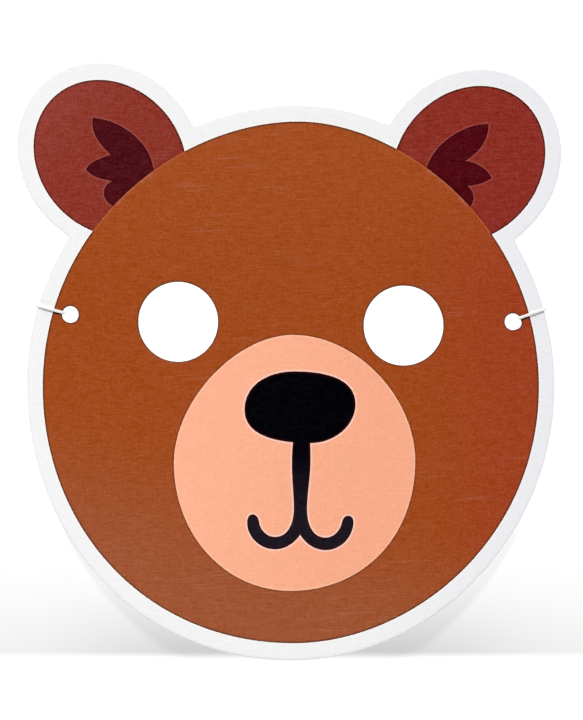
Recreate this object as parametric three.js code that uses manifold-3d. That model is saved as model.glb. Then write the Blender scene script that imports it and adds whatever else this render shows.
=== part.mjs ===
// A paper animal mask: one die-cut card with a round head, two ears, two eye holes and a
// punched hole at each side, where a round elastic is looped over the edge and knotted.
// The card is bowed across the face. It lies on its back, printed face up, on its cheeks and
// one ear. Millimetres, +X to the right of the printed face, +Y to the ears, +Z up.

import * as THREE from 'three';
import { mergeVertices } from 'three/addons/utils/BufferGeometryUtils.js';
import Module from 'manifold-3d';

const wasm = await Module();
wasm.setup();

// Card
const cardThickness = 0.5;
const bowRadius = 265;

// Head, from its own middle
const headWidth = 184.7;
const headHeight = 194;

// Ears
const earLength = 69.4;
const earWidth = 61.2;
const earLean = 49;
const earFillet = 1.4;

// Holes
const eyeSpacing = 78.8;
const eyeHeight = 20.7;
const eyeDiameter = 27.8;
const cordHoleHeight = 22.55;
const cordHoleDiameter = 5.7;
const holeSlant = 0.95;

// Elastic
const cordDiameter = 1.1;
const cordClearance = 0.3;
const knotLength = 3.6;
const knotWidth = 3;
const knotHeight = 2;
const tailLength = 4.5;

// Where the four sides of the head touch their tangents, as shares of its width and height,
// and how full each quarter is: 0.552 is a true ellipse.
const headForm = {
  topAt: 0.011,
  leftAt: -0.002,
  bottomAt: 0,
  rightAt: -0.007,
  upperRight: 0.531,
  upperLeft: 0.536,
  lowerLeft: 0.57,
  lowerRight: 0.545,
};

// Middles of the ears, as shares of half the head's width and height
const ears = [
  { side: 1, across: 0.674, up: 0.789 },
  { side: -1, across: -0.685, up: 0.813 },
];

// The cord holes' distance from the card's edge, how many degrees the elastic's run over the
// front rises towards that edge, and how far above the hole's middle its line passes
const ties = [
  { name: 'left_tie', side: -1, inset: 12.3, rise: 15, above: 0 },
  { name: 'right_tie', side: 1, inset: 11.65, rise: 19.5, above: 0.5 },
];

const stripCount = 21;
const headSteps = 132;
const earSteps = 84;
const filletSteps = 4;
const eyeSteps = 48;
const cordHoleSteps = 24;
const cordSides = 8;
const loopEndSteps = 6;
const knotSides = 12;
const tailSteps = 3;
const cordSteps = 78;

const degrees = Math.PI / 180;

// A closed round outline through four touching points, run counter-clockwise
function roundOutline(width, height, form) {
  const right = new THREE.Vector2(width / 2, form.rightAt * height);
  const top = new THREE.Vector2(form.topAt * width, height / 2);
  const left = new THREE.Vector2(-width / 2, form.leftAt * height);
  const bottom = new THREE.Vector2(form.bottomAt * width, -height / 2);
  const outline = new THREE.Path();
  outline.moveTo(right.x, right.y);
  const quarter = (from, to, fullness, upright) => {
    const reach = to.clone().sub(from).multiplyScalar(fullness);
    const leave = upright ? new THREE.Vector2(0, reach.y) : new THREE.Vector2(reach.x, 0);
    const arrive = upright ? new THREE.Vector2(reach.x, 0) : new THREE.Vector2(0, reach.y);
    outline.bezierCurveTo(
      from.x + leave.x, from.y + leave.y,
      to.x - arrive.x, to.y - arrive.y,
      to.x, to.y,
    );
  };
  quarter(right, top, form.upperRight, true);
  quarter(top, left, form.upperLeft, false);
  quarter(left, bottom, form.lowerLeft, true);
  quarter(bottom, right, form.lowerRight, false);
  return outline;
}

function earOutline(ear) {
  const across = ear.across * headWidth / 2;
  const up = ear.up * headHeight / 2;
  const turn = ear.side > 0 ? earLean * degrees : (180 - earLean) * degrees;
  return new THREE.EllipseCurve(across, up, earLength / 2, earWidth / 2, 0, 2 * Math.PI, false, turn);
}

// A point of a closed counter-clockwise curve, moved out along its normal
function grownPoint(curve, share, growth) {
  const at = ((share % 1) + 1) % 1;
  const point = curve.getPoint(at);
  const tangent = curve.getTangent(at);
  return new THREE.Vector2(point.x + tangent.y * growth, point.y - tangent.x * growth);
}

// Where two grown curves cross, as the shares along each
function crossings(first, second, growth) {
  const steps = 240;
  const sample = (curve) => {
    const points = [];
    for (let i = 0; i <= steps; i += 1) points.push(grownPoint(curve, i / steps, growth));
    return points;
  };
  const a = sample(first);
  const b = sample(second);
  const found = [];
  for (let i = 0; i < steps; i += 1) {
    const along = a[i + 1].clone().sub(a[i]);
    for (let j = 0; j < steps; j += 1) {
      const other = b[j + 1].clone().sub(b[j]);
      const between = b[j].clone().sub(a[i]);
      const area = along.cross(other);
      if (area === 0) continue;
      const s = between.cross(other) / area;
      const t = between.cross(along) / area;
      if (s >= 0 && s < 1 && t >= 0 && t < 1) {
        found.push({
          first: (i + s) / steps,
          second: (j + t) / steps,
          corner: a[i].clone().addScaledVector(along, s),
        });
      }
    }
  }
  return found.sort((p, q) => p.first - q.first);
}

// Points of a curve from one share to another, with about the given number for the whole turn
function stretch(curve, from, to, stepsAround) {
  const end = to < from ? to + 1 : to;
  const count = Math.max(2, Math.round((end - from) * stepsAround));
  const points = [];
  for (let i = 0; i <= count; i += 1) points.push(grownPoint(curve, from + (end - from) * i / count, 0));
  return points;
}

// The inside of the rounded corner between head and ear, whose centre lies off the card
function fillet(centre, from, to) {
  const start = from.clone().sub(centre).angle();
  const sweep = (to.clone().sub(centre).angle() - start + 3 * Math.PI) % (2 * Math.PI) - Math.PI;
  const points = [];
  for (let i = 1; i < filletSteps; i += 1) {
    const angle = start + sweep * i / filletSteps;
    points.push(new THREE.Vector2(
      centre.x + earFillet * Math.cos(angle),
      centre.y + earFillet * Math.sin(angle),
    ));
  }
  return points;
}

// The whole cut edge: head, then each ear, with rounded corners between them
function cutOutline() {
  const head = roundOutline(headWidth, headHeight, headForm);
  const corners = ears.map((ear) => {
    const curve = earOutline(ear);
    const [enter, leave] = crossings(head, curve, earFillet);
    return { curve, enter, leave };
  });
  const points = [];
  corners.forEach(({ curve, enter, leave }, index) => {
    const next = corners[(index + 1) % corners.length];
    const onEar = stretch(curve, enter.second, leave.second, earSteps);
    const onHead = stretch(head, leave.first, next.enter.first, headSteps);
    points.push(...fillet(enter.corner, grownPoint(head, enter.first, 0), onEar[0]));
    points.push(...onEar);
    points.push(...fillet(leave.corner, onEar[onEar.length - 1], onHead[0]));
    points.push(...onHead);
  });
  return points;
}

// Distance from a point inside the head to its edge, in a given direction
function distanceToEdge(from, direction) {
  const points = roundOutline(headWidth, headHeight, headForm).getPoints(headSteps);
  for (let i = 1; i < points.length; i += 1) {
    const along = points[i].clone().sub(points[i - 1]);
    const between = points[i - 1].clone().sub(from);
    const area = direction.cross(along);
    const distance = between.cross(along) / area;
    const share = between.cross(direction) / area;
    if (distance > 0 && share >= 0 && share < 1) return distance;
  }
  return 0;
}

// Height of the middle of the card's thickness below the top of its bow
const bowDrop = (across) => bowRadius - Math.sqrt(bowRadius ** 2 - across ** 2);
const bowSlope = (across) => Math.asin(across / bowRadius);

// Middle of a hole on the slanted line through all four holes
const slanted = (across, height) => new THREE.Vector2(across, height - across * Math.tan(holeSlant * degrees));

// The holes are round from above, as they look from the front of a worn mask
function roundHole(middle, diameter, steps) {
  const curve = new THREE.EllipseCurve(middle.x, middle.y, diameter / 2, diameter / 2);
  return new THREE.Path(curve.getPoints(steps).slice(0, steps));
}

const eyeMiddle = (side) => slanted(side * eyeSpacing / 2, eyeHeight);

function cordHoleMiddle(tie) {
  const width = distanceToEdge(new THREE.Vector2(0, cordHoleHeight), new THREE.Vector2(tie.side, 0));
  return slanted(tie.side * (width - tie.inset), cordHoleHeight);
}

function solidFrom(geometry) {
  const plain = geometry.clone();
  plain.deleteAttribute('normal');
  plain.deleteAttribute('uv');
  const merged = mergeVertices(plain, 1e-5);
  return new wasm.Manifold(new wasm.Mesh({
    numProp: 3,
    vertProperties: merged.attributes.position.array,
    triVerts: Uint32Array.from(merged.index.array),
  }));
}

function geometryFrom(solid) {
  const mesh = solid.getMesh();
  const geometry = new THREE.BufferGeometry();
  geometry.setAttribute('position', new THREE.BufferAttribute(mesh.vertProperties, 3));
  geometry.setIndex(new THREE.BufferAttribute(mesh.triVerts, 1));
  geometry.computeVertexNormals();
  return geometry;
}

// The card: a bowed sheet of flat strips, cut straight down along the outline and the holes
function cardSolid() {
  const outline = cutOutline();
  const shape = new THREE.Shape(outline);
  for (const tie of ties) {
    shape.holes.push(roundHole(eyeMiddle(tie.side), eyeDiameter, eyeSteps));
    shape.holes.push(roundHole(cordHoleMiddle(tie), cordHoleDiameter, cordHoleSteps));
  }
  const reach = Math.max(...outline.map((point) => Math.abs(point.x))) + cardThickness;
  const length = Math.max(...outline.map((point) => Math.abs(point.y))) + cardThickness;
  const depth = bowDrop(reach) + 2 * cardThickness;
  const cut = new THREE.ExtrudeGeometry(shape, { depth: 2 * depth, bevelEnabled: false, steps: 1 });
  cut.translate(0, 0, -1.5 * depth);

  const halfAngle = bowSlope(reach);
  const arc = (radius, from, to) => {
    const points = [];
    for (let i = 0; i <= stripCount; i += 1) {
      const angle = from + (to - from) * i / stripCount;
      points.push(new THREE.Vector2(radius * Math.sin(angle), radius * Math.cos(angle) - bowRadius));
    }
    return points;
  };
  const section = new THREE.Shape([
    ...arc(bowRadius - cardThickness / 2, -halfAngle, halfAngle),
    ...arc(bowRadius + cardThickness / 2, halfAngle, -halfAngle),
  ]);
  const sheet = new THREE.ExtrudeGeometry(section, { depth: 2 * length, bevelEnabled: false, steps: 1 });
  sheet.rotateX(Math.PI / 2);
  sheet.translate(0, length, 0);
  return solidFrom(sheet).intersect(solidFrom(cut));
}

// The lean at which the lowest points above and below the head's shoulders both touch the
// surface, and the move that then puts the card's box over the origin
function restingPlace(card) {
  const shoulder = ears[0].up * headHeight / 4;
  const position = geometryFrom(card).attributes.position;
  let lean = 0;
  const turned = new THREE.Vector3();
  const turn = () => new THREE.Matrix4().makeRotationX(lean);
  for (let pass = 0; pass < 8; pass += 1) {
    const matrix = turn();
    const low = { ear: null, cheek: null };
    for (let i = 0; i < position.count; i += 1) {
      const part = position.getY(i) > shoulder ? 'ear' : 'cheek';
      turned.fromBufferAttribute(position, i).applyMatrix4(matrix);
      if (low[part] === null || turned.z < low[part].z) low[part] = turned.clone();
    }
    lean += Math.atan((low.cheek.z - low.ear.z) / (low.ear.y - low.cheek.y));
  }
  const box = new THREE.Box3();
  const matrix = turn();
  for (let i = 0; i < position.count; i += 1) {
    box.expandByPoint(turned.fromBufferAttribute(position, i).applyMatrix4(matrix));
  }
  const middle = box.getCenter(new THREE.Vector3());
  return { lean, move: new THREE.Vector3(-middle.x, -middle.y, -box.min.z) };
}

const card = cardSolid();
const rest = restingPlace(card);
const restMatrix = new THREE.Matrix4().makeRotationX(rest.lean).setPosition(rest.move);

// A place on the resting card, from a point of the outline and a height off its middle
function onCard(point, off) {
  const slope = bowSlope(point.x);
  const local = new THREE.Vector3(
    point.x + off * Math.sin(slope),
    point.y,
    -bowDrop(point.x) + off * Math.cos(slope),
  );
  return local.applyMatrix4(restMatrix);
}

// A round section for a cord, with its corners on the cord's surface
function cordSection() {
  const curve = new THREE.EllipseCurve(0, 0, cordDiameter / 2, cordDiameter / 2);
  return new THREE.Shape(curve.getPoints(cordSides).slice(0, cordSides));
}

function cordTube(points, steps) {
  const path = new THREE.CatmullRomCurve3(points);
  return new THREE.ExtrudeGeometry(cordSection(), { extrudePath: path, steps });
}

// A closed loop with straight runs and round ends, lying in XY about the middle of one run's
// length, with a chamfered square section that stands for the round cord
function loopGeometry(length, radius) {
  const flat = cordDiameter * Math.tan(Math.PI / cordSides);
  const chamfer = (cordDiameter - flat) / 2;
  const straight = length / 2 - radius;
  const stadium = (size) => {
    const points = [];
    for (let i = 0; i <= loopEndSteps; i += 1) {
      const angle = -Math.PI / 2 + Math.PI * i / loopEndSteps;
      points.push(new THREE.Vector2(straight + size * Math.cos(angle), size * Math.sin(angle)));
    }
    return [...points, ...points.map((point) => point.clone().negate())];
  };
  const shape = new THREE.Shape(stadium(radius + flat / 2));
  shape.holes.push(new THREE.Path(stadium(radius - flat / 2)));
  const geometry = new THREE.ExtrudeGeometry(shape, {
    depth: flat,
    steps: 1,
    bevelEnabled: true,
    bevelSegments: 1,
    bevelThickness: chamfer,
    bevelSize: chamfer,
  });
  geometry.translate(0, 0, -flat / 2);
  return geometry;
}

// The elastic's loop over one edge of the card, with its knot behind and the cut end's tail
function tieSolid(tie) {
  const off = cardThickness / 2 + cordClearance + cordDiameter / 2;
  const edgeGap = cordClearance + cordDiameter / 2;
  const hole = cordHoleMiddle(tie);
  const rise = tie.rise * degrees;
  const direction = new THREE.Vector2(tie.side * Math.cos(rise), Math.sin(rise));
  const nearest = new THREE.Vector2(hole.x, hole.y + tie.above);
  const start = nearest.clone().addScaledVector(direction, cordHoleDiameter / 2 - edgeGap);
  const end = nearest.clone().addScaledVector(direction, distanceToEdge(nearest, direction) + edgeGap);
  const inner = onCard(start, 0);
  const outer = onCard(end, 0);
  const middle = inner.clone().add(outer).multiplyScalar(0.5);
  const along = outer.clone().sub(inner);
  const length = along.length();
  along.normalize();
  const across = onCard(start, 1).sub(inner).cross(along).normalize();
  const up = along.clone().cross(across).normalize();
  const frame = new THREE.Matrix4().makeBasis(along, up, along.clone().cross(up)).setPosition(middle);
  const loop = loopGeometry(length, off).applyMatrix4(frame);

  const knotMiddle = middle.clone().addScaledVector(up, -(cardThickness + knotHeight) / 2 - cordClearance);
  const knot = new THREE.SphereGeometry(0.5, knotSides, knotSides / 2);
  knot.scale(knotWidth, knotLength, knotHeight);
  knot.translate(knotMiddle.x, knotMiddle.y, knotMiddle.z);

  const tailEnd = knotMiddle.clone();
  tailEnd.y += knotLength / 2 + tailLength;
  tailEnd.z = cordDiameter / 2;
  const bend = knotMiddle.clone().lerp(tailEnd, 0.5);
  bend.z = Math.max(cordDiameter / 2, bend.z - cordDiameter / 4);
  const tail = cordTube([knotMiddle, bend, tailEnd], tailSteps);
  return solidFrom(loop).add(solidFrom(knot)).add(solidFrom(tail));
}

// The elastic's free stretch, laid loosely on the surface behind the face
const cordRoute = [
  [-83.2, 16.25, 1.85],
  [-83.35, 13, 1.3],
  [-83.7, 9, 0.75],
  [-83.9, 4.5, 0.58],
  [-84, -4, 0.58],
  [-83.2, -15, 0.58],
  [-80.4, -28, 0.58],
  [-75, -41, 0.58],
  [-66.4, -53, 0.58],
  [-54.6, -62.6, 0.58],
  [-40.4, -69.4, 0.58],
  [-24, -73.6, 0.58],
  [-7, -75.6, 0.58],
  [10, -75.4, 0.58],
  [27, -72.8, 0.58],
  [43, -67.4, 0.58],
  [57, -59, 0.58],
  [68.4, -47.6, 0.58],
  [76.4, -34.4, 0.58],
  [81.4, -20.6, 0.58],
  [83.8, -8, 0.58],
  [84.4, 3, 0.58],
  [84.4, 8, 0.75],
  [84.3, 11.6, 1.25],
  [84.2, 14.85, 1.8],
];

function material(color, roughness) {
  return new THREE.MeshStandardMaterial({ color, roughness, metalness: 0 });
}

function node(name, geometry, finish) {
  const mesh = new THREE.Mesh(geometry, finish);
  mesh.name = name;
  return mesh;
}

const printedCard = material(0xa04a20, 0.55);
const whiteElastic = material(0xf2f1ee, 0.8);

const mask = new THREE.Group();
const cardMesh = node('mask_card', geometryFrom(card), printedCard);
cardMesh.position.copy(rest.move);
cardMesh.rotation.x = rest.lean;
mask.add(cardMesh);
for (const tie of ties) mask.add(node(tie.name, geometryFrom(tieSolid(tie)), whiteElastic.clone()));
const freeStretch = cordTube(cordRoute.map((point) => new THREE.Vector3(...point)), cordSteps);
mask.add(node('elastic_cord', freeStretch, whiteElastic.clone()));

export default mask;
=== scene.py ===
# Paper animal mask: a bear's face printed on one bowed sheet of die-cut card, lying face up on
# a pale floor, with a white elastic looped and knotted through a punched hole at each side.
# Lengths here are millimetres on the flat pattern, from the middle of the head, and become
# metres where a mesh is made.
import math
import bpy
import numpy as np
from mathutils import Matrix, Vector
from mathutils.geometry import delaunay_2d_cdt


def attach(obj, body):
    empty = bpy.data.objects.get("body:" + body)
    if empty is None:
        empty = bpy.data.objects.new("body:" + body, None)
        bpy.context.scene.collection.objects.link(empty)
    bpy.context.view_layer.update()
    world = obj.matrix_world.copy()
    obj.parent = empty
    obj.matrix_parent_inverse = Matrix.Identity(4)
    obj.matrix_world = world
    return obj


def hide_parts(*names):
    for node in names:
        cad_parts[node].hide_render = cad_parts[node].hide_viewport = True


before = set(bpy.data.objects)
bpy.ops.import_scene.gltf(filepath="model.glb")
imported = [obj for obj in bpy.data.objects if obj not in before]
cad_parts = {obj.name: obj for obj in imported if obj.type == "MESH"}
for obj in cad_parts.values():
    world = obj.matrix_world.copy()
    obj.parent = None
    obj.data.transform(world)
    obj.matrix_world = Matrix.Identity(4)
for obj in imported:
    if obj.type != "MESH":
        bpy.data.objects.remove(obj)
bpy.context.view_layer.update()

mm = 0.001


# Straight above the face, which is how the photo sees it. above: how far the lens is over the
# face's level; fieldHeight: how high the picture is there.
def makeCamera():
    view = dict(above=8000, fieldHeight=252, level=9, centre=(0.742, 0.535), sensor=36)
    x, y = view["centre"]
    data = bpy.data.cameras.new("camera")
    data.sensor_width = view["sensor"]
    data.lens = view["sensor"] * view["above"] / view["fieldHeight"]
    data.clip_start = 0.01
    data.clip_end = 50
    camera = bpy.data.objects.new("camera", data)
    camera.location = (x * mm, y * mm, (view["level"] + view["above"]) * mm)
    bpy.context.scene.collection.objects.link(camera)
    bpy.context.scene.camera = camera


makeCamera()
print("camera made")


# The card's bend and rest, the same as in the CAD
card = dict(
    thickness=0.5,
    bowRadius=265,
    lean=math.radians(0.831496),
    rest=(0.502, -7.493, 16.958),
    edgeRound=0.1,  # rounding of the cut edge
    holeRound=0.05,
    pressWidth=1.1,  # the die presses the front down along its cut
    pressDepth=0.07,
    holePress=1.4,  # how much narrower the punch's pressed rim is
)

# Slight waves of a sheet that has been flat in a packet, none where it touches the floor. Each
# wave has its height, its run to the right and upwards, and where it starts.
waves = dict(
    stillBeyond=84,
    ripples=((0.15, 23, 41, 0.4), (0.12, -37, 29, 1.9), (0.05, 11, -15, 0.7)),
)


def ripple(x, y):
    calm = np.clip(1 - (np.abs(x) / waves["stillBeyond"]) ** 3, 0, 1)
    return calm * sum(height * np.sin(x / right + y / up + start)
                      for height, right, up, start in waves["ripples"])


# Places on the resting card in metres, from flat pattern points and a height off mid-thickness
def onCard(x, y, off):
    x, y, off = np.broadcast_arrays(np.asarray(x, float), y, off)
    slope = np.arcsin(x / card["bowRadius"])
    raised = off + ripple(x, y)
    across = x + raised * np.sin(slope)
    up = raised * np.cos(slope) - card["bowRadius"] * (1 - np.cos(slope))
    cosLean, sinLean = math.cos(card["lean"]), math.sin(card["lean"])
    placed = [across, y * cosLean - up * sinLean, y * sinLean + up * cosLean]
    return np.stack([p + r for p, r in zip(placed, card["rest"])], axis=-1) * mm


def bezier(start, leave, arrive, end, steps):
    t = np.arange(steps)[:, None] / steps
    start, leave, arrive, end = (np.array(p, float) for p in (start, leave, arrive, end))
    return (1 - t) ** 3 * start + 3 * t * (1 - t) ** 2 * leave + 3 * t * t * (1 - t) * arrive + t ** 3 * end


# A closed round shape from the places where its four sides touch their tangents. Each quarter
# has a fullness, or one for its start and one for its end.
def roundForm(form, steps):
    left, right, low, high = form["sides"]
    touches = [(right, form["rightAt"]), (form["topAt"], high), (left, form["leftAt"]), (form["lowAt"], low)]
    quarters = []
    for i, fullness in enumerate(form["fullness"]):
        (x0, y0), (x1, y1) = touches[i], touches[(i + 1) % 4]
        first, last = np.broadcast_to(fullness, 2)
        upright = i % 2 == 0
        leave = (x0, y0 + first * (y1 - y0)) if upright else (x0 + first * (x1 - x0), y0)
        arrive = (x1 - last * (x1 - x0), y1) if upright else (x1, y1 - last * (y1 - y0))
        quarters.append(bezier((x0, y0), leave, arrive, (x1, y1), steps))
    return np.concatenate(quarters)


def oval(middle, half, turn, steps):
    t = np.arange(steps) * 2 * math.pi / steps
    x, y = half[0] * np.cos(t), half[1] * np.sin(t)
    c, s = math.cos(math.radians(turn)), math.sin(math.radians(turn))
    return np.stack([middle[0] + x * c - y * s, middle[1] + x * s + y * c], axis=-1)


# A closed outline of arcs between places with a heading in degrees; a new stretch starts at
# each corner, where the last one ends
def arcForm(stretches, step=0.6):
    parts = []
    for stretch in stretches:
        for (x0, y0, h0), (x1, y1, h1) in zip(stretch, stretch[1:]):
            turn = math.radians(abs((h1 - h0 + 180) % 360 - 180))
            chord = math.hypot(x1 - x0, y1 - y0)
            # the handles that make the curve follow an arc
            reach = chord * (2 * math.tan(turn / 4) / (3 * math.sin(turn / 2)) if turn > 0.02 else 1 / 3)
            leave = (x0 + reach * math.cos(math.radians(h0)), y0 + reach * math.sin(math.radians(h0)))
            arrive = (x1 - reach * math.cos(math.radians(h1)), y1 - reach * math.sin(math.radians(h1)))
            parts.append(bezier((x0, y0), leave, arrive, (x1, y1), max(4, round(chord / step))))
    return np.concatenate(parts)


# A smooth open path through its points
def smoothThrough(points, steps):
    points = np.array(points, float)
    ends = [2 * points[0] - points[1], 2 * points[-1] - points[-2]]
    p = np.concatenate([ends[:1], points, ends[1:]])
    out = []
    for a, b, c, d in zip(p, p[1:], p[2:], p[3:]):
        for t in np.arange(steps) / steps:
            out.append(0.5 * (2 * b + (c - a) * t + (2 * a - 5 * b + 4 * c - d) * t * t
                              + (3 * b - a - 3 * c + d) * t ** 3))
    return np.array(out + [points[-1]])


def outward(loop):
    along = np.roll(loop, -1, axis=0) - np.roll(loop, 1, axis=0)
    along /= np.linalg.norm(along, axis=1)[:, None]
    return np.stack([along[:, 1], -along[:, 0]], axis=-1)


def grown(loop, growth):
    return loop + growth * outward(loop)


# Where two closed outlines cross, in the order of the first: index in each and the point
def crossings(a, b):
    da, db = np.roll(a, -1, axis=0) - a, np.roll(b, -1, axis=0) - b
    between = b[None] - a[:, None]
    area = da[:, None, 0] * db[None, :, 1] - da[:, None, 1] * db[None, :, 0]
    area = np.where(area == 0, 1e-12, area)
    s = (between[..., 0] * db[None, :, 1] - between[..., 1] * db[None, :, 0]) / area
    t = (between[..., 0] * da[:, None, 1] - between[..., 1] * da[:, None, 0]) / area
    found = np.argwhere((s >= 0) & (s < 1) & (t >= 0) & (t < 1))
    return [(i, j, a[i] + s[i, j] * da[i]) for i, j in found]


def insideLoop(points, loop):
    x, y = points[:, 0], points[:, 1]
    inside = np.zeros(len(points), bool)
    for (x0, y0), (x1, y1) in zip(loop, np.roll(loop, -1, axis=0)):
        if y0 == y1:
            continue
        spans = (y0 > y) != (y1 > y)
        inside ^= spans & (x < (x1 - x0) * (y - y0) / (y1 - y0) + x0)
    return inside


# Distance from each point to the nearest of the loops' sides
def gapTo(points, loops):
    a = np.concatenate(loops)
    d = np.concatenate([np.roll(loop, -1, axis=0) for loop in loops]) - a
    squared = (d ** 2).sum(1)
    batch = 400  # as many points at once as memory holds with ease
    gaps = np.empty(len(points))
    for i in range(0, len(points), batch):
        p = points[i:i + batch, None] - a[None]
        t = np.clip((p * d).sum(2) / squared, 0, 1)[..., None]
        gaps[i:i + batch] = np.sqrt((((p - t * d) ** 2).sum(2)).min(1))
    return gaps


# A closed outline resampled to about even steps
def evenly(loop, step):
    closed = np.concatenate([loop, loop[:1]])
    along = np.concatenate([[0], np.cumsum(np.linalg.norm(np.diff(closed, axis=0), axis=1))])
    count = int(along[-1] / step)
    marks = np.arange(count) * along[-1] / count
    return np.stack([np.interp(marks, along, closed[:, k]) for k in (0, 1)], axis=-1)


# The die's cut: head and ears, the round inside corners between them and a small nick
cutForm = dict(
    head=dict(sides=(-92.35, 92.35, -97, 97), rightAt=-1.36, topAt=2.03, leftAt=-0.39, lowAt=0,
              fullness=(0.531, 0.536, 0.57, 0.545)),
    ears=[dict(middle=(62.24, 76.53), turn=49), dict(middle=(-63.26, 78.86), turn=131)],
    earHalf=(34.7, 30.6),
    fillet=1.4,
    nick=dict(at=(64.7, -67.8), depth=0.42, half=1.2),
    headSteps=120,
    earSteps=210,
    fineStep=0.3,
    keepEvery=4,  # of the fine steps, where the edge is smooth
    fineByNick=4,
    fineByCorner=3,
)


# The inside of a rounded corner, whose centre lies off the card
def innerCorner(centre, start, end, radius):
    a0 = math.atan2(start[1] - centre[1], start[0] - centre[0])
    a1 = math.atan2(end[1] - centre[1], end[0] - centre[0])
    sweep = (a1 - a0 + 3 * math.pi) % (2 * math.pi) - math.pi
    angles = a0 + sweep * np.linspace(0.08, 0.92, 8)
    return np.stack([centre[0] + radius * np.cos(angles), centre[1] + radius * np.sin(angles)], axis=-1)


# Points of a closed curve after one index up to another
def betweenIndices(curve, first, last):
    turn = len(curve) if last < first else 0
    return curve[np.arange(first + 1, last + 1 + turn) % len(curve)]


# The cut edge: head, then each ear, with a small round inside corner between them
def cutOutline():
    fillet = cutForm["fillet"]
    head = roundForm(cutForm["head"], cutForm["headSteps"])
    corners = []
    for ear in cutForm["ears"]:
        curve = oval(ear["middle"], cutForm["earHalf"], ear["turn"], cutForm["earSteps"])
        enter, leave = crossings(grown(head, fillet), grown(curve, fillet))
        corners.append((curve, enter, leave))
    parts = []
    for k, (curve, enter, leave) in enumerate(corners):
        onEar = betweenIndices(curve, enter[1], leave[1])
        onHead = betweenIndices(head, leave[0], corners[(k + 1) % 2][1][0])
        parts += [innerCorner(enter[2], head[enter[0]], onEar[0], fillet), onEar,
                  innerCorner(leave[2], onEar[-1], onHead[0], fillet), onHead]
    edge = evenly(np.concatenate(parts), cutForm["fineStep"])
    nick = cutForm["nick"]
    away = np.linalg.norm(edge - np.array(nick["at"]), axis=1)
    tight = np.min([np.linalg.norm(edge - c[k][2], axis=1) for c in corners for k in (1, 2)], axis=0)
    keep = np.arange(len(edge)) % cutForm["keepEvery"] == 0
    keep |= (away < cutForm["fineByNick"]) | (tight < cutForm["fineByCorner"])
    edge, away = edge[keep], away[keep]
    dent = nick["depth"] * np.exp(-(away / nick["half"]) ** 2)
    return edge - dent[:, None] * outward(edge)


# slant: how far, in degrees, the rows of holes lean down to the right
holes = dict(
    slant=0.95,
    eyes=dict(across=(-39.4, 39.4), height=20.7, diameter=27.8, steps=96),
    cords=dict(across=(-77.205, 77.73), height=22.55, diameter=5.7, steps=48),
)


def holeMiddle(kind, k):
    x = holes[kind]["across"][k]
    return np.array([x, holes[kind]["height"] - x * math.tan(math.radians(holes["slant"]))])


def holeOutlines():
    loops = []
    for kind in ("eyes", "cords"):
        half = holes[kind]["diameter"] / 2
        loops += [oval(holeMiddle(kind, k), (half, half), 0, holes[kind]["steps"]) for k in (0, 1)]
    return loops


# The printed shapes. Arcs run from place to place as x, y and heading.
prints = dict(
    head=dict(sides=(-86.82, 86.81, -91.02, 91.41), rightAt=-1.8, topAt=2.7, leftAt=-1.6, lowAt=0.9,
              fullness=((0.628, 0.406), (0.461, 0.615), (0.542, 0.596), (0.485, 0.594))),
    muzzle=dict(sides=(-40.85, 43.45, -72.7, 16.8), rightAt=-27.43, topAt=0.8, leftAt=-27.96, lowAt=-0.1,
                fullness=(0.512, 0.48, 0.563, 0.582)),
    nose=dict(sides=(-16.2, 22.59, -21.05, 4.08), rightAt=-7.42, topAt=1.38, leftAt=-9.41, lowAt=6.93,
              fullness=(0.653, 0.595, 0.655, 0.543)),
    leftEar=dict(middle=(-63.21, 78.56), half=(29.06, 25.03), turn=130.9),
    rightEar=dict(middle=(62.21, 76.45), half=(29.14, 24.97), turn=48.7),
    # hair inside each ear: from its top tip round the notches, under the head and back
    leftTuft=[
        [(-69.19, 92.68, -102), (-62.98, 79.79, -42)],
        [(-62.98, 79.79, -158), (-71.64, 74.62, -117)],
        [(-71.64, 74.62, -53), (-62.28, 70.53, -9)],
        [(-62.28, 70.53, -165), (-65.38, 66.37, -89), (-60.98, 61.24, -19)],
        [(-60.98, 61.24, 41), (-47.88, 72.74, 41)],
        [(-47.88, 72.74, 90), (-54.76, 86.57, 139), (-69.19, 92.68, 175)],
    ],
    rightTuft=[
        [(69.15, 90.47, 179), (54.38, 84.93, -142), (47.19, 73.77, -102)],
        [(47.19, 73.77, -42), (61.79, 60.77, -42)],
        [(61.79, 60.77, 36), (61.59, 68.81, 149)],
        [(61.59, 68.81, 3), (70.29, 71.57, 33)],
        [(70.29, 71.57, 116), (60.89, 77.59, 173)],
        [(60.89, 77.59, 29), (69.15, 90.47, 91)],
    ],
    # down the left of the stem, round both hooks and up its right
    mouth=[
        [(0.9, -19.5, -97), (0.36, -26.5, -91), (0.82, -38.3, -86), (1.02, -43.2, -89),
         (-4.48, -53.71, -169), (-11.1, -48.5, 97), (-13.35, -45.9, 180), (-15.3, -48.5, -91),
         (-7.1, -58.09, -10), (3.28, -53.12, 56)],
        [(3.28, -53.12, -59), (13.01, -58.46, 6), (21.93, -48.6, 89), (20.15, -46.4, 180),
         (17.9, -48.5, -100), (11.49, -54.03, 173), (5.7, -43.2, 88), (6.05, -38.3, 85),
         (6.92, -27.1, 90), (6.6, -19.5, 97)],
        [(6.6, -19.5, 180), (0.9, -19.5, 180)],
    ],
    # bare slivers where the punch has lifted the ink beside the cord holes
    chips=[dict(hole=0, toward=-42, spread=50, width=0.2), dict(hole=1, toward=-28, spread=42, width=0.34)],
    chipEdge=dict(steps=15, tips=0.05, into=0.3),  # how far the tips and the back lie inside the rim
    steps=dict(head=130, muzzle=66, nose=32, leftEar=170, rightEar=170),
)


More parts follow.
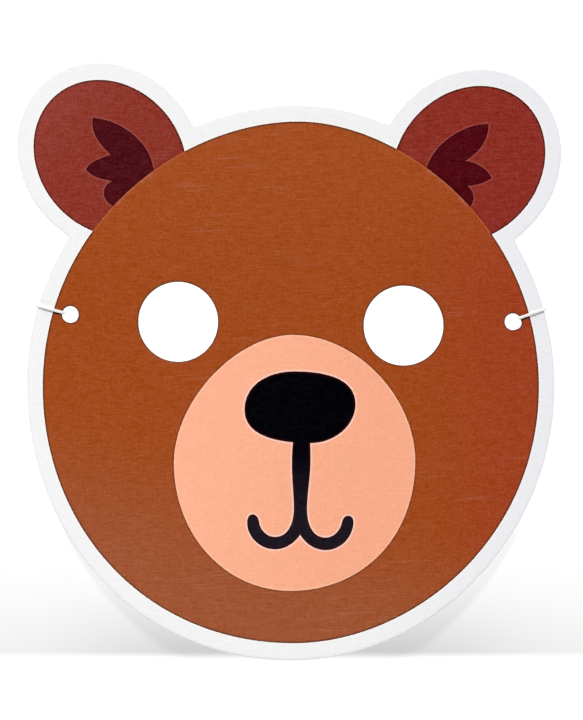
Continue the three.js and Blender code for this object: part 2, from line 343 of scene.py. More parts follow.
def chipOutline(chip):
    edge = prints["chipEdge"]
    radius = holes["cords"]["diameter"] / 2
    t = np.linspace(-1, 1, edge["steps"])
    angles = np.radians(chip["toward"] + chip["spread"] * np.concatenate([t, t[::-1]]))
    out = radius - edge["tips"] + (chip["width"] + edge["tips"]) * (1 - t * t)
    reach = np.concatenate([out, np.full(edge["steps"], radius - edge["into"])])
    around = np.stack([np.cos(angles), np.sin(angles)], axis=-1)
    return holeMiddle("cords", chip["hole"]) + reach[:, None] * around


def printOutlines():
    loops = {}
    steps = prints["steps"]
    for name in ("head", "muzzle", "nose"):
        loops[name] = roundForm(prints[name], steps[name])
    for name in ("leftEar", "rightEar"):
        ear = prints[name]
        loops[name] = oval(ear["middle"], ear["half"], ear["turn"], steps[name])
    for name in ("leftTuft", "rightTuft", "mouth"):
        loops[name] = arcForm(prints[name])
    for i, chip in enumerate(prints["chips"]):
        loops[f"chip{i}"] = chipOutline(chip)
    return loops


# One socket of a material's nodes; plain arithmetic on it adds Math nodes
class Wire:
    def __init__(self, tree, socket=None):
        self.tree = tree
        self.socket = socket

    def add(self, kind, settings=None, sockets=None, out=0):
        node = self.tree.nodes.new("ShaderNode" + kind)
        for name, value in (settings or {}).items():
            setattr(node, name, value)
        for key, value in (sockets or {}).items():
            if isinstance(value, Wire):
                self.tree.links.new(value.socket, node.inputs[key])
            else:
                node.inputs[key].default_value = value
        return Wire(self.tree, node.outputs[out] if len(node.outputs) else None)

    def maths(self, operation, *values):
        return self.add("Math", {"operation": operation}, dict(enumerate(values)))

    def __add__(self, other):
        return self.maths("ADD", self, other)

    def __radd__(self, other):
        return self.maths("ADD", other, self)

    def __sub__(self, other):
        return self.maths("SUBTRACT", self, other)

    def __rsub__(self, other):
        return self.maths("SUBTRACT", other, self)

    def __mul__(self, other):
        return self.maths("MULTIPLY", self, other)

    def __rmul__(self, other):
        return self.maths("MULTIPLY", other, self)

    # 0 below low and 1 above high, with a soft change between
    def rise(self, low, high):
        return self.add("MapRange", {"interpolation_type": "SMOOTHSTEP"}, {0: self, 1: low, 2: high})

    # the first colour where mask is 0 and the second where it is 1
    def mixed(self, first, second, mask):
        return self.add("Mix", {"data_type": "RGBA"}, {0: mask, 6: first, 7: second}, 2)

    def vector(self, operation, first, second):
        return self.add("VectorMath", {"operation": operation}, {0: first, 1: second})

    def scaled(self, vector, factor):
        return self.add("VectorMath", {"operation": "SCALE"}, {0: vector, "Scale": factor})


# A new material, its first wire and the place on the piece in millimetres
def startFinish(name):
    material = bpy.data.materials.new(name)
    material.use_nodes = True
    material.node_tree.nodes.clear()
    start = Wire(material.node_tree)
    return material, start, start.scaled(start.add("TexCoord", out="Object"), 1 / mm)


def closeFinish(material, start, sockets):
    shader = start.add("BsdfPrincipled", {}, sockets)
    start.add("OutputMaterial", {}, {"Surface": shader})
    return material


# Noise about 0, with its own count of cells to the millimetre along each axis
def noise(place, cells, detail=2.0, shift=0.0, turn=0.0):
    if turn:
        place = place.add("VectorRotate", {"rotation_type": "Z_AXIS"}, {"Vector": place, "Angle": turn})
    place = place.add("VectorMath", {"operation": "MULTIPLY_ADD"}, {0: place, 1: cells, 2: (shift,) * 3})
    return place.add("TexNoise", {}, {"Vector": place, "Scale": 1.0, "Detail": detail}) - 0.5


def stored(start, name):
    return start.add("Attribute", {"attribute_name": name}, out="Fac")


# sRGB steps of 0 to 255 to the linear values that the shaders take
def ink(red, green, blue):
    steps = (red, green, blue)
    return tuple(v / 255 / 12.92 if v < 10.3 else ((v / 255 + 0.055) / 1.055) ** 2.4 for v in steps)


def opaque(colour):
    return (*colour, 1.0)


# grain and veil: how much the press sheet's texture scales the ink and greys it. The shade under the
# elastic is a painted shadow, how dark it makes the ink along the lower side of each run. The drift
# (direction, from, to, colour) is painted light and reflection that turns an ink towards another colour
# across the card, as in the brown's redder right side and paler bottom.
inks = dict(
    brown=dict(base=ink(160, 73, 27), grain=0.82, veil=0.1, paintedCordShade=0.95, paintedLightDrift=[
        ((1, 0.1), 30, 85, ink(160, 64, 32)),
        ((0, 1), 20, 85, ink(164, 77, 32)),
        ((-0.3, -1), 34, 92, ink(159, 84, 50)),
    ]),
    earRed=dict(base=ink(140, 52, 41), grain=0.95, veil=0.1, paintedLightDrift=[
        ((1, 0), 20, 60, ink(141, 47, 37)),
        ((-0.7, 0.7), 98, 125, ink(146, 60, 50)),
    ]),
    maroon=dict(base=ink(75, 11, 20), grain=1.9, veil=0.016, paintedLightDrift=[
        ((1, 0), 20, 60, ink(79, 5, 16)),
    ]),
    peach=dict(base=ink(255, 180, 146), roughness=0.32, grain=0.5, veil=0.0, paintedLightDrift=[
        ((1, -0.2), -30, 40, ink(250, 173, 139)),
    ]),
    black=dict(base=ink(2, 1, 6), grain=1.2, veil=0.012, gloss=0.05, paintedLightDrift=[
        ((0, -1), 27, 56, ink(29, 24, 32)),
    ]),
    bare=dict(base=ink(243, 243, 244), roughness=0.38, grain=0.26, veil=0.0, paintedLightDrift=[
        ((1, 0), 20, 92, ink(239, 239, 243)),
    ]),
)


# What the first ink turns to right beside the second, and by how much
meeting = {
    ("brown", "bare"): (0.95, ink(30, 33, 34)),
    ("brown", "hole"): (0.8, ink(64, 56, 50)),
    ("brown", "peach"): (0.45, ink(60, 20, 0)),
    ("brown", "earRed"): (0.17, ink(255, 147, 124)),
    ("brown", "maroon"): (0.16, ink(255, 181, 167)),
    ("earRed", "bare"): (1.0, ink(4, 10, 14)),
    ("earRed", "brown"): (0.6, ink(120, 40, 2)),
    ("earRed", "maroon"): (0.1, ink(250, 170, 173)),
    ("maroon", "earRed"): (0.9, ink(60, 0, 0)),
    ("maroon", "brown"): (0.9, ink(60, 0, 0)),
    ("peach", "brown"): (0.25, ink(255, 240, 215)),
    ("peach", "black"): (0.48, ink(255, 255, 255)),
    ("black", "peach"): (1.0, ink(62, 8, 0)),
    ("bare", "brown"): (1.0, ink(255, 246, 238)),
    ("bare", "earRed"): (0.9, ink(255, 246, 240)),
}


# The press sheet's linen grain: speckle, fine streaks both ways and soft blotches, each with its
# cells to the millimetre along each axis, its detail, its shift and its turn. shares: how much of
# each the weave has; deepest: how dark it gets.
linen = dict(
    speck=((1.6, 1.6, 0.4), 2.0, 5.9),
    lying=((0.3, 1.9, 0.3), 2.0, 3.1, 0.012),
    standing=((1.8, 0.34, 0.3), 2.0, 17.7, 0.012),
    blotch=((0.42, 0.42, 0.3), 2.0, 41.3),
    shares=dict(speck=0.46, lying=0.34, standing=0.18, blotch=0.1),
    deepest=-0.1,
)

# Pale rubbed lines that run nearly across, and the patches that have them
rubbed = dict(lines=((0.045, 1.5, 0.2), 1.0, 71.9, -0.05), patches=((0.018, 0.018, 0.02), 1.0, 93.4),
              share=0.25)

# A painted shadow, the dark line below each run of elastic: how far below the cord's middle it lies,
# and how far from there it is full and gone. starts and ends: where it comes and goes along the run.
paintedCordShadow = dict(below=0.76, full=0.26, gone=0.54, starts=(-1.2, -0.4), ends=(0, 1))


def printedFinish(name):
    spec = inks[name]
    material, start, place = startFinish(name)
    colour = opaque(spec["base"])
    x = start.add("SeparateXYZ", {}, {0: place}, "X")
    y = start.add("SeparateXYZ", {}, {0: place}, "Y")
    # painted light and reflection: each ink turns towards other colours across the card
    for (dx, dy), low, high, other in spec["paintedLightDrift"]:
        colour = start.mixed(colour, opaque(other), (x * dx + y * dy).rise(low, high))
    speck = noise(place, *linen["speck"])
    lying = noise(place, *linen["lying"])
    standing = noise(place, *linen["standing"])
    blotch = noise(place, *linen["blotch"])
    shares = linen["shares"]
    weave = speck * shares["speck"] + lying * shares["lying"]
    weave = weave + standing * shares["standing"] + blotch * shares["blotch"]
    weave = start.maths("MAXIMUM", weave, linen["deepest"]) * spec["grain"]
    lines = (noise(place, *rubbed["lines"]) + 0.5).rise(0.6, 0.74)
    where = (noise(place, *rubbed["patches"]) + 0.5).rise(0.46, 0.62)
    grey = weave * spec["veil"] + lines * where * (rubbed["share"] * spec["veil"])
    beside = start.add("Attribute", {"attribute_name": "meetingInk"}, out="Color")
    colour = start.mixed(colour, beside, stored(start, "meeting"))
    tone = 1 + weave
    # painted shadow of the elastic: a dark line on the ink along the lower side of each run
    for tie in (ties["left"], ties["right"]) if "paintedCordShade" in spec else ():
        near, far = (onCard(*end, 0)[:2] / mm for end in runEnds(tie))
        length = float(np.linalg.norm(far - near))
        ux, uy = ((far - near) / length).tolist()
        along = x * ux + y * uy - float(near[0] * ux + near[1] * uy)
        below = (x * uy - y * ux - float(near[0] * uy - near[1] * ux)) * tie["side"]
        line = 1 - start.maths("ABSOLUTE", below - paintedCordShadow["below"]).rise(paintedCordShadow["full"], paintedCordShadow["gone"])
        last = 1 - along.rise(*(length + beyond for beyond in paintedCordShadow["ends"]))
        tone = tone * (1 - line * along.rise(*paintedCordShadow["starts"]) * last * spec["paintedCordShade"])
    if name == "bare":  # painted shade: greyer along the cut edge, where the die has pressed it down
        tone = tone * (1 - (1 - stored(start, "cutGap").rise(0.0, 0.9)) * 0.07)
    colour = start.vector("ADD", start.scaled(colour, tone), start.scaled((1.0, 1.0, 1.0), grey))
    bump = start.add("Bump", {}, {"Strength": 0.35, "Distance": 0.00004, "Height": lying + standing})
    return closeFinish(material, start, {
        "Base Color": start.vector("MAXIMUM", colour, (0.0, 0.0, 0.0)),
        "Roughness": blotch * 0.12 + lying * 0.1 + spec.get("roughness", 0.3),
        "Normal": bump,
        "Specular IOR Level": spec.get("gloss", 0.2),
    })


def backFinish():
    spec = dict(base=ink(233, 230, 223), fleck=ink(205, 198, 186), roughness=0.82)
    material, start, place = startFinish("plainBack")
    cloud = noise(place, (0.06, 0.05, 0.05), 3.0, 2.2)
    fibre = noise(place, (0.5, 2.4, 0.6), 3.0, 8.8, 0.3)
    fleck = (noise(place, (1.1, 1.1, 1.1), 2.0, 13.5) + 0.5).rise(0.66, 0.74)
    colour = start.mixed(opaque(spec["base"]), opaque(spec["fleck"]), fleck * 0.35)
    tone = (1 + cloud * 0.09 + fibre * 0.08) * (1 - (1 - stored(start, "cutGap").rise(0.0, 1.0)) * 0.05)
    bump = start.add("Bump", {}, {"Strength": 0.5, "Distance": 0.00006, "Height": fibre})
    return closeFinish(material, start, {
        "Base Color": start.scaled(colour, tone),
        "Roughness": fibre * 0.15 + spec["roughness"],
        "Normal": bump,
    })


def edgeFinish():
    spec = dict(base=ink(232, 228, 220), pulp=ink(196, 188, 176), roughness=0.9)
    material, start, place = startFinish("cutEdge")
    ply = (noise(place, (0.35, 0.35, 9.0), 2.0, 4.4) + 0.5).rise(0.4, 0.66)
    fibre = noise(place, (3.0, 3.0, 7.0), 3.0, 21.0)
    colour = start.mixed(opaque(spec["base"]), opaque(spec["pulp"]), ply * 0.6)
    bump = start.add("Bump", {}, {"Strength": 0.6, "Distance": 0.00005, "Height": fibre})
    return closeFinish(material, start, {
        "Base Color": start.scaled(colour, 1 + fibre * 0.2),
        "Roughness": fibre * 0.1 + spec["roughness"],
        "Normal": bump,
    })


def elasticFinish():
    spec = dict(base=ink(244, 244, 243), shade=ink(226, 225, 222), roughness=0.72)
    material, start, place = startFinish("whiteElastic")
    yarn = noise(place, (7.0, 7.0, 7.0), 2.0, 1.7)
    wear = (noise(place, (0.25, 0.25, 0.25), 2.0, 30.2) + 0.5).rise(0.45, 0.7)
    colour = start.mixed(opaque(spec["base"]), opaque(spec["shade"]), wear * 0.35)
    bump = start.add("Bump", {}, {"Strength": 0.4, "Distance": 0.00004, "Height": yarn})
    return closeFinish(material, start, {
        "Base Color": start.scaled(colour, 1 + yarn * 0.14),
        "Roughness": yarn * 0.2 + spec["roughness"],
        "Normal": bump,
        "Sheen Weight": 0.15,
    })


def makeObject(name, vertices, faces, materials, places=None, smooth=True):
    mesh = bpy.data.meshes.new(name)
    mesh.from_pydata([tuple(v) for v in vertices], [], [tuple(f) for f in faces])
    for material in materials:
        mesh.materials.append(material)
    if places is not None:
        mesh.polygons.foreach_set("material_index", np.asarray(places, np.int32))
    mesh.polygons.foreach_set("use_smooth", np.full(len(mesh.polygons), smooth))
    mesh.validate()
    mesh.update()
    piece = bpy.data.objects.new(name, mesh)
    bpy.context.scene.collection.objects.link(piece)
    return piece


# row: a braid's step along the cord; relief: how far its yarns stand up, as a share of its radius;
# ends and cap: how narrow a cut end is and how far it bulges
elastic = dict(diameter=1.1, sides=16, row=0.23, relief=0.085, ends=0.8, cap=0.25)

# The free stretch's route on the floor behind the face, as in the CAD, in metres
cordRoute = [
    (-0.0832, 0.01625, 0.00185),
    (-0.08335, 0.013, 0.0013),
    (-0.0837, 0.009, 0.00075),
    (-0.0839, 0.0045, 0.00058),
    (-0.084, -0.004, 0.00058),
    (-0.0832, -0.015, 0.00058),
    (-0.0804, -0.028, 0.00058),
    (-0.075, -0.041, 0.00058),
    (-0.0664, -0.053, 0.00058),
    (-0.0546, -0.0626, 0.00058),
    (-0.0404, -0.0694, 0.00058),
    (-0.024, -0.0736, 0.00058),
    (-0.007, -0.0756, 0.00058),
    (0.01, -0.0754, 0.00058),
    (0.027, -0.0728, 0.00058),
    (0.043, -0.0674, 0.00058),
    (0.057, -0.059, 0.00058),
    (0.0684, -0.0476, 0.00058),
    (0.0764, -0.0344, 0.00058),
    (0.0814, -0.0206, 0.00058),
    (0.0838, -0.008, 0.00058),
    (0.0844, 0.003, 0.00058),
    (0.0844, 0.008, 0.00075),
    (0.0843, 0.0116, 0.00125),
    (0.0842, 0.01485, 0.0018),
]


def evenPath(points, step):
    along = np.concatenate([[0], np.cumsum(np.linalg.norm(np.diff(points, axis=0), axis=1))])
    marks = np.linspace(0, along[-1], max(2, int(round(along[-1] / step))) + 1)
    return np.stack([np.interp(marks, along, points[:, k]) for k in range(3)], axis=-1)


# A round braided cord swept along a path: its yarns stand up in a lattice of small diamonds
def braidedCord(name, path, material, width=1.0, flare=0.0):
    path = evenPath(path, elastic["row"] * mm)
    along = np.gradient(path, axis=0)
    along /= np.linalg.norm(along, axis=1)[:, None]
    side = np.cross(along[0], (0.31, 0.17, 0.93))
    count = elastic["sides"]
    radius = elastic["diameter"] / 2 * width * mm
    vertices = []
    for i, (point, tangent) in enumerate(zip(path, along)):
        side = side - tangent * side.dot(tangent)
        side /= np.linalg.norm(side)
        other = np.cross(tangent, side)
        swell = 1 + flare * math.exp(-i / 2.2)  # a cut end frays a little wider
        if i in (0, len(path) - 1):
            swell *= elastic["ends"]
        for j in range(count):
            lattice = 1 if (i + j) % 2 else -1
            r = radius * swell * (1 - elastic["relief"] / 2 + lattice * elastic["relief"])
            angle = 2 * math.pi * j / count
            vertices.append(point + r * (math.cos(angle) * side + math.sin(angle) * other))
    faces = []
    for i in range(len(path) - 1):
        for j in range(count):
            k = (j + 1) % count
            a, b, c, d = i * count + j, i * count + k, (i + 1) * count + k, (i + 1) * count + j
            # the diagonal follows the raised corners
            faces += [(a, b, c), (a, c, d)] if (i + j) % 2 else [(a, b, d), (b, c, d)]
    for row, end in ((0, 0), (len(path) - 1, -1)):
        centre = len(vertices)
        vertices.append(path[end] + (-along[0] if end == 0 else along[-1]) * radius * elastic["cap"])
        for j in range(count):
            a, b = row * count + j, row * count + (j + 1) % count
            faces.append((b, a, centre) if end == 0 else (a, b, centre))
    return makeObject(name, vertices, faces, [material])


elasticMaterial = elasticFinish()
cordPath = smoothThrough(cordRoute, 12)
freeCord = braidedCord("elastic_free_stretch", cordPath, elasticMaterial)
cordLength = float(np.linalg.norm(np.diff(cordPath, axis=0), axis=1).sum())
print("free stretch of elastic made,", round(cordLength, 4), "m")


# rise and above: how steeply the run over the front climbs, and how far above the hole's
# middle its line passes
ties = dict(
    left=dict(node="left_tie", side=-1, rise=15, above=0, hole=0, start=0),
    right=dict(node="right_tie", side=1, rise=19.5, above=0.55, hole=1, start=-1),
    slack=0.05,  # gap between cord and card
    stretched=0.93,  # pulled tight, the elastic is a little thinner than where it lies free
    flare=0.22,  # of the cut end
    knotDrop=1.5,  # from mid-thickness to the middle of the knot
    wrapAcross=0.98,
    wrapDeep=0.72,
    wrapTurns=2,
    wrapPitch=1.02,
    lift=0.14,  # how far the run over the front stands off in its middle
    tail=4.5,
)


outline = cutOutline()


# Distance from a point inside an outline to it, in one direction
def reachTo(loop, start, direction):
    a, d = loop - start, np.roll(loop, -1, axis=0) - loop
    area = direction[0] * d[:, 1] - direction[1] * d[:, 0]
    distance = (a[:, 0] * d[:, 1] - a[:, 1] * d[:, 0]) / area
    share = (a[:, 0] * direction[1] - a[:, 1] * direction[0]) / area
    return distance[(distance > 0) & (share >= 0) & (share < 1)].min()


# Where the cord's middle line passes the hole's rim and the card's edge
def runEnds(tie):
    rise = math.radians(tie["rise"])
    direction = np.array([tie["side"] * math.cos(rise), math.sin(rise)])
    nearest = holeMiddle("cords", tie["hole"]) + np.array([0, tie["above"]])
    gap = ties["slack"] + elastic["diameter"] / 2
    near = nearest + direction * (reachTo(holeOutlines()[2 + tie["hole"]], nearest, direction) - gap)
    far = nearest + direction * (reachTo(outline, nearest, direction) + gap)
    return near, far


# One cord from its cut end, twice round itself, out through the hole, over the front and the
# edge, and back through the wraps to the free stretch
def tiePath(tie):
    half = elastic["diameter"] / 2
    gap = ties["slack"] + half
    near, far = runEnds(tie)
    inner3 = onCard(*near, 0)
    outer3 = onCard(*far, 0)
    middle = (inner3 + outer3) / 2
    along = (outer3 - inner3) / np.linalg.norm(outer3 - inner3)
    lifted = onCard(*near, 1) - inner3
    across = np.cross(lifted, along)
    across /= np.linalg.norm(across)
    if across[1] < 0:
        across = -across
    up = lifted - along * lifted.dot(along)
    up /= np.linalg.norm(up)
    reach = np.linalg.norm(outer3 - inner3) / 2 / mm
    off = card["thickness"] / 2 + gap
    deep = -ties["knotDrop"]
    wrap = ties["wrapPitch"] * ties["wrapTurns"] / 2

    knot = middle + up * deep * mm
    tailEnd = knot + np.array([-0.4, wrap + ties["tail"], 0]) * mm
    tailEnd[2] = (half + 0.03) * mm
    local = []
    for t in np.linspace(1, 0, 12 * ties["wrapTurns"] + 1):  # the wraps, from the tail's side
        a = math.pi + 2 * math.pi * ties["wrapTurns"] * t
        sideways, depth = ties["wrapAcross"] * math.cos(a), deep + ties["wrapDeep"] * math.sin(a)
        local.append((sideways, -wrap + 2 * wrap * t, depth))
    local += [(-1.9, -wrap - 0.25, -1.15), (-3.1, -0.5, -off - 0.05)]
    for a in np.radians(np.linspace(-90, -270, 7)):  # round the rim of the hole
        local.append((-reach + off + off * math.cos(a), 0, off * math.sin(a)))
    local += [(-reach / 3, 0, off + ties["lift"] * 0.9), (reach / 3, 0, off + ties["lift"])]
    for a in np.radians(np.linspace(90, -90, 7)):  # round the card's edge
        local.append((reach - off + off * math.cos(a), 0, off * math.sin(a)))
    local += [(2.9, 0.7, -off - 0.1), (1.75, wrap + 0.35, -1.2), (0.5, wrap + 0.85, -1.4),
              (0, wrap - 0.1, deep), (0, 0, deep), (0, -wrap, deep)]
    points = [middle + (u * along + v * across + w * up) * mm for u, v, w in local]
    bend = (tailEnd + points[0]) / 2
    bend[2] = max((half + 0.1) * mm, bend[2] - 0.2 * mm)
    start = np.array(cordRoute[tie["start"]])
    onward = np.array(cordRoute[1 if tie["start"] == 0 else -2])
    beyond = start + (onward - start) * 0.2
    return smoothThrough([tailEnd, bend] + points + [start, beyond], 8)


for name in ("left", "right"):
    tie = ties[name]
    path = tiePath(tie)
    piece = braidedCord(f"elastic_tie_{name}", path, elasticMaterial, ties["stretched"], ties["flare"])
    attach(piece, "root")
    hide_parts(tie["node"])
print("ties made")

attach(freeCord, "root")
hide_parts("elastic_cord")


# The front's triangles, inside a frame of left, right, low and high. Rings of points follow each
# cut and ink edge at these distances, and the grid keeps off them.
surface = dict(
    cell=2.5,
    rowStep=0.87,  # of a cell, for triangles with even sides
    frame=(-97, 97, -100, 112),
    gridGap=1.5,
    ringStep=0.85,
    ringShare=0.93,  # a ring's points stay this much of its distance from every edge
    inkRing=0.8,
    cutRings=(0.28, 0.6, 1.05),
    cuspRings=((0.3, 10), (0.6, 12)),
)
finishOrder = ("bare", "brown", "earRed", "maroon", "peach", "black")

# Later shapes are printed over earlier ones
printOrder = (("leftEar", "earRed"), ("rightEar", "earRed"), ("leftTuft", "maroon"), ("rightTuft", "maroon"),
              ("head", "brown"), ("muzzle", "peach"), ("nose", "black"), ("mouth", "black"),
              ("chip0", "bare"), ("chip1", "bare"))


# Flat points and triangles of the front, with every cut and every ink edge in the mesh
def flatPattern():
    cuts = [grown(outline, -card["edgeRound"])] + [grown(loop, card["holeRound"]) for loop in holeOutlines()]
    printed = printOutlines()
    loops = cuts + list(printed.values())
    candidates = []
    for loop in loops:
        fine = evenly(loop, surface["ringStep"])
        rings = surface["cutRings"] if loop is cuts[0] else (surface["inkRing"],)
        for distance in rings:
            for sign in (-1, 1):
                points = grown(fine, sign * distance)
                candidates.append(points[gapTo(points, loops) > distance * surface["ringShare"]])
    left, right, low, high = surface["frame"]
    rows = np.arange(low, high, surface["cell"] * surface["rowStep"])
    across = np.arange(left, right, surface["cell"])
    grid = [np.stack([across + (i % 2) * surface["cell"] / 2, np.full(len(across), y)], axis=-1)
            for i, y in enumerate(rows)]
    grid = np.concatenate(grid)
    candidates.append(grid[gapTo(grid, loops) > surface["gridGap"]])
    # small triangles round the cusp between the hooks, where the ink's red edge would spread wide
    for reach, steps in surface["cuspRings"]:
        points = oval(prints["mouth"][1][0][:2], (reach, reach), 0, steps)
        candidates.append(points[gapTo(points, loops) > reach * 0.6])
    free = np.concatenate(candidates)
    free = free[insideLoop(free, cuts[0])]
    for hole in cuts[1:]:
        free = free[~insideLoop(free, hole)]
    points = [Vector(p) for loop in loops for p in loop] + [Vector(p) for p in free]
    edges = []
    first = 0
    for loop in loops:
        count = len(loop)
        edges += [(first + i, first + (i + 1) % count) for i in range(count)]
        first += count
    vertices, _, faces, _, _, _ = delaunay_2d_cdt(points, edges, [], 0, 1e-5)
    vertices = np.array([tuple(v) for v in vertices])
    faces = np.array([tuple(f) for f in faces])
    middles = vertices[faces].mean(axis=1)
    kept = insideLoop(middles, cuts[0])
    for hole in cuts[1:]:
        kept &= ~insideLoop(middles, hole)
    faces, middles = faces[kept], middles[kept]
    used, faces = np.unique(faces, return_inverse=True)
    vertices, faces = vertices[used], faces.reshape(-1, 3)
    corners = vertices[faces]
    turned = np.cross(corners[:, 1] - corners[:, 0], corners[:, 2] - corners[:, 0]) < 0
    faces[turned] = faces[turned][:, ::-1]

    inked = np.zeros(len(faces), int)
    for name, finish in printOrder:
        inked[insideLoop(middles, printed[name])] = finishOrder.index(finish)
    cutGap, holeGap = gapTo(vertices, cuts[:1]), gapTo(vertices, cuts[1:])
    return vertices, faces, inked, cutGap, holeGap


# How much each triangle's ink is changed at its corners by the one beside it, and to what
def inkMeetings(faces, inked, atHole):
    names = finishOrder + ("hole",)
    none = (0.0, (0.0, 0.0, 0.0))
    shares = np.array([[meeting.get((a, b), none)[0] for b in names] for a in names])
    colours = np.array([[meeting.get((a, b), none)[1] for b in names] for a in names])
    present = np.zeros((len(atHole), len(names)), bool)
    for corner in range(3):
        present[faces[:, corner], inked] = True
    present[atHole, -1] = True
    changes = present[faces] * shares[inked][:, None, :]
    strongest = changes.max(axis=1).argmax(axis=1)
    return changes[np.arange(len(faces)), :, strongest], colours[inked, strongest]


# The open sides of a sheet of triangles, chained into loops of vertex numbers
def openLoops(faces):
    sides = set()
    for face in faces:
        for a, b in ((face[0], face[1]), (face[1], face[2]), (face[2], face[0])):
            if (b, a) in sides:
                sides.discard((b, a))
            else:
                sides.add((a, b))
    following = dict(sides)
    loops = []
    while following:
        start, here = following.popitem()
        loop = [start]
        while here != start:
            loop.append(here)
            here = following.pop(here)
        loops.append(np.array(loop))
    return loops


def store(piece, name, kind, domain, values):
    attribute = piece.data.attributes.new(name, kind, domain)
    field = "color" if kind == "FLOAT_COLOR" else "value"
    attribute.data.foreach_set(field, np.asarray(values, np.float32).ravel())


def makeCard():
    flat, faces, inked, cutGap, holeGap = flatPattern()
    shares, besides = inkMeetings(faces, inked, holeGap < 1e-4)
    print("pattern has", len(flat), "points and", len(faces), "triangles")
    half = card["thickness"] / 2
    near = np.minimum(cutGap, holeGap * card["holePress"])
    pressed = card["pressDepth"] * np.clip(1 - near / card["pressWidth"], 0, 1) ** 2
    count = len(flat)
    vertices = [onCard(flat[:, 0], flat[:, 1], half - pressed), onCard(flat[:, 0], flat[:, 1], -half)]
    gaps = [cutGap, cutGap]
    allFaces = faces.tolist() + (faces[:, ::-1] + count).tolist()
    places = inked.tolist() + [len(finishOrder) + 1] * len(faces)
    total = 2 * count
    for loop in openLoops(faces):
        around = flat[loop]
        away = outward(around)
        size = len(loop)
        top = half - pressed[loop]
        rounding = card["edgeRound"] if cutGap[loop[0]] < 1e-4 else card["holeRound"]
        rings = [loop]
        # over the rounded edge, down the cut and round below
        for out, height in ((0.6, top - 0.3 * rounding), (1, top - rounding),
                            (1, rounding - half), (0.6, 0.3 * rounding - half)):
            ring = around + away * out * rounding
            vertices.append(onCard(ring[:, 0], ring[:, 1], height))
            gaps.append(np.zeros(size))
            rings.append(np.arange(total, total + size))
            total += size
        rings.append(loop + count)
        for upper, lower in zip(rings, rings[1:]):
            for i in range(size):
                k = (i + 1) % size
                allFaces.append([upper[k], upper[i], lower[i], lower[k]])
                places.append(len(finishOrder))
    materials = [printedFinish(name) for name in finishOrder] + [edgeFinish(), backFinish()]
    piece = makeObject("mask_card_printed", np.concatenate(vertices), allFaces, materials, places)
    # the front's triangles come first, so their corners do too
    corners = np.zeros(len(piece.data.loops))
    corners[:shares.size] = shares.ravel()
    colours = np.ones((len(corners), 4))
    colours[:shares.size, :3] = np.repeat(besides, 3, axis=0)
    store(piece, "cutGap", "FLOAT", "POINT", np.concatenate(gaps))
    store(piece, "meeting", "FLOAT", "CORNER", corners)
    store(piece, "meetingInk", "FLOAT_COLOR", "CORNER", colours)
    return piece


cardPiece = makeCard()
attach(cardPiece, "root")
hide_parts("mask_card")
print("card made")


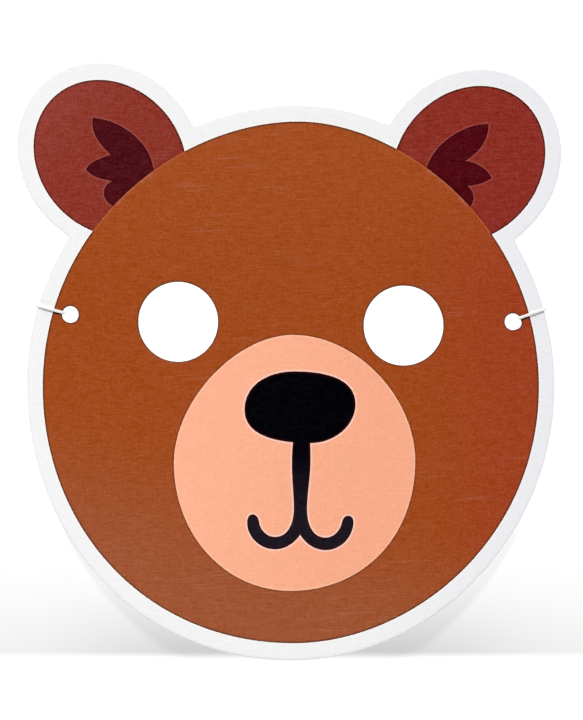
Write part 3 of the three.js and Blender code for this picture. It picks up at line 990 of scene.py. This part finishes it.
# A pale floor. By the chin it has a painted shade, a soft grey patch that deepens towards the chin
# and ends along a line there. Each pair of numbers says where a change starts and ends.
def makeFloor():
    spec = dict(
        half=8.0,
        sides=96,
        colour=(0.2, 0.2, 0.2),
        glow=0.92,
        roughness=0.85,
        paintedLightUnderHoles=0.2,  # painted light below the holes, so that the floor the card shades there shows as bright as the rest
        bright=1.12,  # its level away from the patch, so that it looks white
        dims=(50, 66),  # from there to 1
        deepens=(66, 118),
        deepening=0.75,  # how far that has come at the line
        line=(101.3, 104.8),
        middle=3,
        shade=0.33,  # how dark the patch is in its middle, and at its sides
        sideShade=0.12,
        sideways=(20, 105),
        patchEnds=(108, 190),
    )
    angles = [2 * math.pi * i / spec["sides"] for i in range(spec["sides"])]
    vertices = [(spec["half"] * math.cos(a), spec["half"] * math.sin(a), 0.0) for a in angles]
    material, start, place = startFinish("paleFloor")
    cloud = noise(place, (0.004, 0.004, 0.004), 2.0, 6.0)
    x = start.add("SeparateXYZ", {}, {0: place}, "X")
    y = start.add("SeparateXYZ", {}, {0: place}, "Y")
    aside = start.maths("ABSOLUTE", x - spec["middle"])
    below = 0 - y
    # painted shade: the grey patch by the chin, which level carries into both the floor's colour and its
    # glow
    deep = spec["shade"] - aside.rise(*spec["sideways"]) * (spec["shade"] - spec["sideShade"])
    lower = below.rise(*spec["deepens"]) * (1 / spec["deepening"])
    paintedShade = below.rise(*spec["dims"]) * (1 - 1 / spec["bright"]) + deep * lower * (1 / spec["bright"])
    paintedShade = paintedShade * (1 - aside.rise(*spec["patchEnds"]))
    level = 1 - paintedShade * (1 - below.rise(*spec["line"]))
    # painted light: a disc of stronger glow on the floor below each hole, where the card shades it
    glow = 1.0
    for loop in holeOutlines():
        middle = onCard(*loop.mean(axis=0), 0) / mm
        size = np.ptp(loop[:, 1]) / 2
        away = start.add("VectorMath", {"operation": "DISTANCE"}, {0: place, 1: (*middle[:2], 0)}, "Value")
        glow = glow + (1 - away.rise(size * 1.05, size * 1.5)) * (spec["paintedLightUnderHoles"] / spec["glow"])
    closeFinish(material, start, {
        "Base Color": start.scaled(spec["colour"], (1 + cloud * 0.03) * level),
        "Roughness": cloud * 0.1 + spec["roughness"],
        "Emission Color": start.scaled((1.0, 1.0, 1.0), glow * level),
        "Emission Strength": spec["glow"],
        "Specular IOR Level": 0.2,
    })
    floor = makeObject("floor", vertices, [tuple(range(spec["sides"]))], [material], smooth=False)


# Studio surround: dim overhead round the camera, bright from mid-height down to the horizon
def makeSurround():
    spec = dict(overhead=0.02, around=1.11, low=0.5, high=0.66)
    world = bpy.data.worlds.new("surround")
    world.use_nodes = True
    world.node_tree.nodes.clear()
    start = Wire(world.node_tree)
    height = start.add("SeparateXYZ", {}, {0: start.add("TexCoord", out="Generated")}, "Z")
    level = spec["around"] - height.rise(spec["low"], spec["high"]) * (spec["around"] - spec["overhead"])
    background = start.add("Background", {}, {"Color": (1.0, 1.0, 1.0, 1.0), "Strength": level})
    start.add("OutputWorld", {}, {"Surface": background})
    bpy.context.scene.world = world


def makeSun():
    spec = dict(toward=(-0.1, 0.55, 0.83), strength=2.35, angle=12)
    data = bpy.data.lights.new("key", "SUN")
    data.energy = spec["strength"]
    data.angle = math.radians(spec["angle"])
    light = bpy.data.objects.new("key", data)
    light.rotation_euler = Vector(spec["toward"]).to_track_quat("Z", "Y").to_euler()
    bpy.context.scene.collection.objects.link(light)


makeFloor()
makeSurround()
makeSun()
bpy.context.scene.view_settings.view_transform = "Standard"
print("floor and light made")
